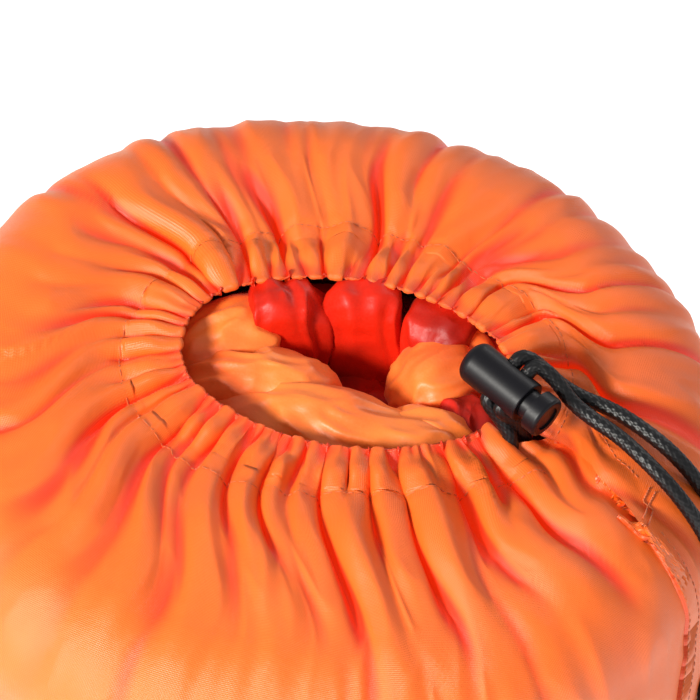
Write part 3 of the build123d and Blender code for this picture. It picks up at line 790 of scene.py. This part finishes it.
def add_stitching(cloth):
    thread = thread_finish("orange_thread", (244, 112, 40))
    shares = np.linspace(-0.022, 0.938, 400)
    line = [(share, float(np.interp(share % 1, *np.array(STITCH_LINE).T)) * MM) for share in shares]
    ring = []
    for number in range(0, len(line) - 2, 2):
        (share, distance), (next_share, next_distance) = line[number], line[number + 1]
        step_share = share + (next_share - share) * 1.5
        ends = ((share, distance), (step_share, next_distance))
        ring.append(tuple(cloth.spot(*end, 0.12 * MM) for end in ends))
    casing = stitches("casing_stitch_row", ring, 0.36 * MM)
    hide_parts("casing_stitching")
    flap_row = [(-0.003, 19 * MM), (0.002, 25 * MM), (0.010, 35 * MM),
                (0.012, 45 * MM), (0.004, 51 * MM), (-0.008, 57 * MM)]
    front_row = [(0.934, 19 * MM), (0.956, 26 * MM)]
    hem = stitches("slit_top_stitching", along(cloth, flap_row, 2.2 * MM, 0.1 * MM), 0.36 * MM)
    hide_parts("slit_stitching")
    front = stitches("slit_front_stitching", along(cloth, front_row, 2.2 * MM, 0.1 * MM), 0.36 * MM)
    tack_line = [(-0.008, 57.5 * MM), (-0.020, 58.5 * MM), (-0.034, 59 * MM)]
    back_tack = [(share, distance + 1.1 * MM) for share, distance in reversed(tack_line)]
    tack_ends = along(cloth, tack_line, 0.9 * MM, 0.35 * MM, 1.1)
    tack_ends += along(cloth, back_tack, 0.9 * MM, 0.35 * MM, 1.1)
    tack = stitches("slit_bartack_thread", tack_ends, 0.5 * MM)
    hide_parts("slit_bartack")
    seam_foot = 385 * MM
    near = [(SEAM_SHARE + 0.002, 66 * MM), (SEAM_SHARE + 0.002, seam_foot)]
    far = [(SEAM_SHARE + 0.0125, 62 * MM), (SEAM_SHARE + 0.0125, seam_foot)]
    rows = along(cloth, near, 2.6 * MM, 0.95 * MM) + along(cloth, far, 2.6 * MM, 0.75 * MM)
    seam = stitches("side_seam_thread", rows, 0.42 * MM)
    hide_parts("side_seam_stitching")
    for piece in (casing, hem, front, tack, seam):
        piece.data.materials.append(thread)
    return [casing, hem, front, tack, seam]


def laid_strip(cloth, name, edges, lift, finish):
    """Strip of cloth laid on the sack: edges gives, down its length, (left share, right share, distance)."""
    left, right, distance = np.array(edges).T
    rows = np.linspace(0, 1, 200)
    stops = np.linspace(0, 1, len(edges))
    across = np.linspace(0, 1, 15)
    grid = np.empty((len(rows), len(across), 3))
    for i, row in enumerate(rows):
        low, high = np.interp(row, stops, left), np.interp(row, stops, right)
        reach = np.interp(row, stops, distance)
        for j, part in enumerate(across):
            proud = lift * min(1.0, 0.12 + 6 * part * (1 - part) + (0.75 if part < 0.5 else 0))
            grid[i, j] = cloth.spot(low + (high - low) * part, reach, proud if 0 < j < len(across) - 1 else 0)
    uv = np.stack(np.meshgrid(across * 9 * MM, rows * (distance[-1] - distance[0])), -1)
    fold = np.zeros(grid.shape[:2])
    # painted shade: the strip's first two columns get a fold mark, so the cloth's finish paints them red as
    # down in a fold
    fold[:, :2] = 0.35
    strip = surface(name, grid, uv, fold=fold)
    strip.data.materials.append(finish)
    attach(strip, "sack")
    return strip


def add_seams(cloth, finish):
    fell_rows = [(SEAM_SHARE + 0.004, SEAM_SHARE + 0.0065, 56 * MM)]
    fell_steps = (74, 130, 200, 270, 340, 386)
    fell_rows += [(SEAM_SHARE, SEAM_SHARE + 0.0135, distance * MM) for distance in fell_steps]
    fell = laid_strip(cloth, "side_seam_felled_edge", fell_rows, 0.8 * MM, finish)
    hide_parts("side_seam_fell")
    strips = [fell]
    reach, flap, front = np.array(SLIT_EDGES).T
    stops = (18, 24, 30, 38, 46, 54, 58)
    back_rows, front_rows = [], []
    for stop in stops:
        edge = float(np.interp(stop, reach, flap))
        back_rows.append((edge + 0.004, edge + 0.018, stop * MM))
        edge = float(np.interp(stop, reach, front)) + 1
        front_rows.append((edge - 0.018, edge - 0.004, stop * MM))
    for name, node, rows in (
        ("slit_hem_flap", "slit_hem_back", back_rows),
        ("slit_hem_under", "slit_hem_front", front_rows),
    ):
        hem = laid_strip(cloth, name, rows, -1.9 * MM, finish)
        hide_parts(node)
        strips.append(hem)
    return strips


# ---------------------------------------------------------------- cords
# Points of the cord's route, in metres: the two tails from the lock to the knot
TAIL_BACK = (
    (0.05290, -0.01410, 0.36016), (0.05414, -0.01313, 0.36139), (0.05690, -0.01290, 0.36030),
    (0.06030, -0.01300, 0.35700), (0.06400, -0.01430, 0.35340), (0.06980, -0.01600, 0.35000),
    (0.07800, -0.01840, 0.34800), (0.08600, -0.02520, 0.34700), (0.09480, -0.03100, 0.34240),
    (0.10360, -0.03350, 0.33050), (0.10880, -0.03150, 0.31400), (0.10900, -0.02650, 0.28700),
    (0.10790, -0.02000, 0.23800), (0.10840, -0.01450, 0.18400), (0.10800, -0.01100, 0.13500),
    (0.11080, -0.00920, 0.10400), (0.11320, -0.00870, 0.07600),
)
TAIL_FRONT = (
    (0.05611, -0.01696, 0.35919), (0.05772, -0.01569, 0.36079), (0.06090, -0.01660, 0.35940),
    (0.06420, -0.01810, 0.35600), (0.06720, -0.02030, 0.35220), (0.07220, -0.02270, 0.34880),
    (0.07960, -0.02860, 0.34740), (0.08680, -0.03640, 0.34500), (0.09460, -0.04160, 0.33860),
    (0.10260, -0.04320, 0.32550), (0.10640, -0.04050, 0.30800), (0.10620, -0.03500, 0.28100),
    (0.10560, -0.02850, 0.23400), (0.10660, -0.02250, 0.18200), (0.10700, -0.01750, 0.13400),
    (0.11060, -0.01420, 0.10400), (0.11320, -0.01330, 0.07600),
)
TAIL_BACK_LENGTH = 0.323
TAIL_FRONT_LENGTH = 0.321
BRAID_CELLS = 10
BRAID_PITCH = 1.2 * MM
BORE = Vector((0.6194, 0.4873, 0.6156))


def spline_line(name, points):
    """Points along the smooth line of a route, as the spline itself gives them."""
    data = bpy.data.curves.new(name, "CURVE")
    data.dimensions = "3D"
    data.resolution_u = 24
    route = data.splines.new("NURBS")
    route.points.add(len(points) - 1)
    for control, point in zip(route.points, points):
        control.co = (*point, 1)
    route.order_u = 3
    route.use_endpoint_u = True
    holder = bpy.data.objects.new(name, data)
    bpy.context.scene.collection.objects.link(holder)
    bpy.context.view_layer.update()
    mesh = bpy.data.meshes.new_from_object(holder)
    line = np.array([vertex.co[:] for vertex in mesh.vertices])
    bpy.data.objects.remove(holder)
    bpy.data.curves.remove(data)
    bpy.data.meshes.remove(mesh)
    return line


def evenly(line, spacing):
    """The line's points again, an even distance apart."""
    length = np.concatenate(([0], np.cumsum(np.linalg.norm(np.diff(line, axis=0), axis=1))))
    places = np.linspace(0, length[-1], max(8, int(length[-1] / spacing)))
    return np.stack([np.interp(places, length, line[:, axis]) for axis in range(3)], -1), places


def braided(name, line, finish, tip=0.0):
    """Braided cord along a line: two sets of strands that cross in rows of small pillows."""
    middle, places = evenly(line, 0.3 * MM)
    ahead = unit(np.gradient(middle, axis=0))
    side = np.empty_like(ahead)
    start = np.cross(ahead[0], (0.3, 0.2, 0.9))
    side[0] = start / np.linalg.norm(start)
    for i in range(1, len(ahead)):
        kept = side[i - 1] - ahead[i] * np.dot(side[i - 1], ahead[i])
        side[i] = kept / np.linalg.norm(kept)
    up = np.cross(ahead, side)
    turn = np.linspace(0, tau, 46)
    wind = places[:, None] * (pi / (2 * BRAID_PITCH))
    one = np.sin(turn * BRAID_CELLS / 2 + wind)
    other = np.sin(turn * BRAID_CELLS / 2 - wind)
    pillow = np.sqrt(np.abs(one * other))
    radius = CORD_DIAMETER / 2 * (0.90 + 0.13 * pillow)
    if tip:
        radius *= np.sqrt(np.clip((places[-1] - places) / tip, 0.02, 1))[:, None]
    grid = (
        middle[:, None]
        + side[:, None] * (radius * np.cos(turn))[..., None]
        + up[:, None] * (radius * np.sin(turn))[..., None]
    )
    uv = np.stack(np.broadcast_arrays(turn * CORD_DIAMETER / 2, places[:, None]), -1)
    # the strand mark also paints the braid lighter on the strands' crowns and darker in their grooves
    cord = surface(name, grid, uv, closed=True, strand=pillow)
    cord.data.materials.append(finish)
    return cord


def knot_line(middle, side, up, size, turns=(0.35, 5.93)):
    """Overhand knot, pulled snug: a trefoil opened where its ends leave."""
    t = np.linspace(*turns, 160)
    x = np.sin(t) + 2 * np.sin(2 * t)
    y = np.cos(t) - 2 * np.cos(2 * t)
    z = -np.sin(3 * t) * 1.1
    return middle + size * (x[:, None] * side + y[:, None] * up + z[:, None] * np.cross(side, up))


def add_cords():
    braid = braid_finish("black_braid")
    for name, node, route, length in (
        ("cord_tail_back", "drawcord_tail_back", TAIL_BACK, TAIL_BACK_LENGTH),
        ("cord_tail_front", "drawcord_tail_front", TAIL_FRONT, TAIL_FRONT_LENGTH),
    ):
        line = spline_line(name + "_route", route)
        tail = braided(name, line, braid)
        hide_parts(node)
        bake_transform(tail)
    knot_low, knot_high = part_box("drawcord_knot")
    middle = np.array((knot_low + knot_high) / 2)
    knots = []
    for name, shift, turn in (("knot_back_strand", 1.9 * MM, 0.5), ("knot_front_strand", -1.9 * MM, 0.62)):
        side = np.array((sin(turn), cos(turn), 0.1))
        side /= np.linalg.norm(side)
        up = np.array((0, 0, 1.0))
        up -= side * side[2]
        up /= np.linalg.norm(up)
        line = knot_line(middle + np.array((shift, shift * 0.4, 0)), side, up, 2.35 * MM)
        strand = braided(name, line, braid)
        knots.append(strand)
    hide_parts("drawcord_knot")
    ends = []
    ends_low, ends_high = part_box("drawcord_cut_ends")
    cut_ends = (("cut_end_back", ends_high.y - 2 * MM, 1), ("cut_end_front", ends_low.y + 2 * MM, -1))
    for name, y, lean in cut_ends:
        x = (ends_low.x + ends_high.x) / 2
        route = (
            (x, y, ends_high.z + 4 * MM), (x + 0.6 * MM, y + lean * MM, ends_high.z - 3 * MM),
            (x + 0.2 * MM, y + lean * 2 * MM, ends_high.z - 8 * MM), (x, y + lean * 2.4 * MM, ends_low.z),
        )
        ends.append(braided(name, spline_line(name + "_route", route), braid, tip=1.2 * MM))
    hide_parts("drawcord_cut_ends")
    for piece in knots + ends:
        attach(piece, "sack")
    add_drawcord(braid)


def add_drawcord(braid):
    """The cord in the casing, out through the slit and up into the lock's bore."""
    share = np.linspace(-0.030, 0.940, 40)
    x, y, heading, _ = mouth_edge(share)
    low = BEND_HEIGHT + TOP_RISE - 12 * MM
    reach = 10.5 * MM
    ring = np.stack((x + reach * np.cos(heading), y + reach * np.sin(heading), np.full_like(x, low)), -1)
    ring = [tuple(map(float, point)) for point in bent(ring)]
    back_bore = Vector(TAIL_BACK[0])
    front_bore = Vector(TAIL_FRONT[0])
    inner, outer = BORE * 10 * MM, BORE * 12.5 * MM
    route = [tuple(front_bore), tuple(front_bore - inner), tuple(front_bore - outer)]
    route += [(0.0535, -0.0215, 0.3460)]
    route += ring
    route += [(0.0525, -0.0240, 0.3420), (0.0490, -0.0215, 0.3475)]
    route += [tuple(back_bore - outer), tuple(back_bore - inner), tuple(back_bore)]
    cord = braided("drawcord_in_casing", spline_line("drawcord_route", route), braid)
    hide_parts("drawcord")
    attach(cord, "sack")


# ---------------------------------------------------------------- the sleeping bag
# Folds in the mouth: name, middle from the mouth's middle, half sizes, turn (degrees), deep (these also take
# the painted-shade finish), seed (mm)
FOLDS = (
    ("bag_lobe_left", (-31, 19, -21), (17, 14, 15), 25, False, 1),
    ("bag_lobe_middle", (-23, 3, -20), (21, 12.5, 14), -12, False, 2),
    ("bag_twisted_flap", (-3, -12, -18), (35, 11, 12), -15, False, 3),
    ("bag_lobe_low", (19, -15, -23), (16, 11, 13), -6, False, 4),
    ("bag_lobe_small", (33, -9, -24), (9, 9, 11), 10, True, 5),
    ("bag_lobe_right", (25, 7, -24), (12.5, 14, 16), 20, False, 6),
    ("bag_lobe_far", (27, 17, -24), (16, 9, 14), -22, False, 7),
    ("bag_fold_deep_left", (-17, 25, -28), (13, 8, 27), 8, True, 8),
    ("bag_fold_deep_right", (6, 26, -28), (11, 8, 27), -6, True, 9),
    ("bag_fold_deep_far", (25, 19, -31), (10, 8, 26), -24, True, 11),
    ("bag_fold_deep_floor", (2, 8, -46), (30, 20, 16), 0, True, 10),
)


def add_fold(name, middle, sizes, turn, deep, seed, finish):
    """One soft fold of the bag: a closed pillow, creased and pulled a little out of shape."""
    bm = bmesh.new()
    bmesh.ops.create_uvsphere(bm, u_segments=84, v_segments=56, radius=1)
    bound = np.array([vertex.co[:] for vertex in bm.verts])
    if deep:
        bound = np.sign(bound) * np.abs(bound) ** 0.6
    sizes = np.array(sizes) * MM
    turn = radians(turn)
    ball = bound * sizes
    wander = np.stack([lumps(ball, 14 * MM, seed * 3 + axis) for axis in range(3)], -1)
    stretch = (1.9, 1.2, 0.28) if deep else (0.8, 1.9, 0.8)
    ridges = 1 - 2 * np.abs(lumps(ball * stretch, 9 * MM, seed + 40))
    fine = lumps(ball * (0.6, 1.8, 1), 3.4 * MM, seed + 80)
    swell = 1 + 0.10 * lumps(ball, 20 * MM, seed + 20)
    shaped = ball * swell[:, None] + wander * 2.2 * MM
    shaped += bound * (ridges * 1.3 * MM + fine * 0.3 * MM)[:, None]
    x = shaped[:, 0] * cos(turn) - shaped[:, 1] * sin(turn) + middle[0] * MM + MOUTH_X
    y = shaped[:, 0] * sin(turn) + shaped[:, 1] * cos(turn) + middle[1] * MM + MOUTH_Y
    z = shaped[:, 2] + middle[2] * MM + BEND_HEIGHT + TOP_RISE
    placed = bent(np.stack((x, y, z), -1))
    for vertex, point in zip(bm.verts, placed):
        vertex.co = point
    piece = new_piece(name, bm)
    piece.data.materials.append(finish)
    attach(piece, "sack")
    return piece


def add_bag():
    light = bag_taffeta("bag_taffeta", deep=False)
    # painted shade: the deep folds and the bulk take the darker, redder copy
    dark = bag_taffeta("bag_taffeta_painted_shade", deep=True)
    for name, middle, sizes, turn, deep, seed in FOLDS:
        add_fold(name, middle, sizes, turn, deep, seed, dark if deep else light)
    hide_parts("sleeping_bag_fold_left")
    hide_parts("sleeping_bag_fold_front")
    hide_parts("sleeping_bag_fold_right")
    bulk_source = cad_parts["sleeping_bag_filling"]
    bm = bmesh.new()
    bm.from_mesh(bulk_source.data)
    bmesh.ops.remove_doubles(bm, verts=bm.verts, dist=0.00002)
    bulk = new_piece("bag_bulk", bm)
    remesh = bulk.modifiers.new("even", "REMESH")
    remesh.mode = "VOXEL"
    remesh.voxel_size = 5 * MM
    relax = bulk.modifiers.new("soft", "SMOOTH")
    relax.factor = 0.5
    relax.iterations = 12
    bpy.context.view_layer.update()
    ready = bpy.data.meshes.new_from_object(bulk.evaluated_get(bpy.context.evaluated_depsgraph_get()))
    bulk.modifiers.clear()
    bulk.data = ready
    count = len(ready.vertices)
    points = np.empty(count * 3, np.float32)
    ready.vertices.foreach_get("co", points)
    points = points.reshape(-1, 3).astype(float)
    outward = np.empty(count * 3, np.float32)
    ready.vertices.foreach_get("normal", outward)
    outward = outward.reshape(-1, 3)
    near_top = step(points[:, 2], BEND_HEIGHT - 20 * MM, BEND_HEIGHT + 10 * MM)
    shrink = -1.0 * MM - 6 * MM * near_top + 1.2 * MM * lumps(points, 25 * MM, 60)
    points += outward * shrink[:, None]
    ready.vertices.foreach_set("co", points.reshape(-1).astype(np.float32))
    ready.polygons.foreach_set("use_smooth", [True] * len(ready.polygons))
    # painted shade: the bulk deep in the mouth takes the bag's painted-shade finish
    bulk.data.materials.append(dark)
    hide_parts("sleeping_bag_filling")
    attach(bulk, "sack")
    return bulk


add_camera()
add_stage()
finish_frame_nodes()
add_cords()
bulk = add_bag()
cloth_points, cloth_share, cloth_distance, casing, body = add_sack()
cloth = Cloth(cloth_points, cloth_share, cloth_distance)
sewn_on = add_stitching(cloth) + add_seams(cloth, bpy.data.materials["sack_taffeta"])
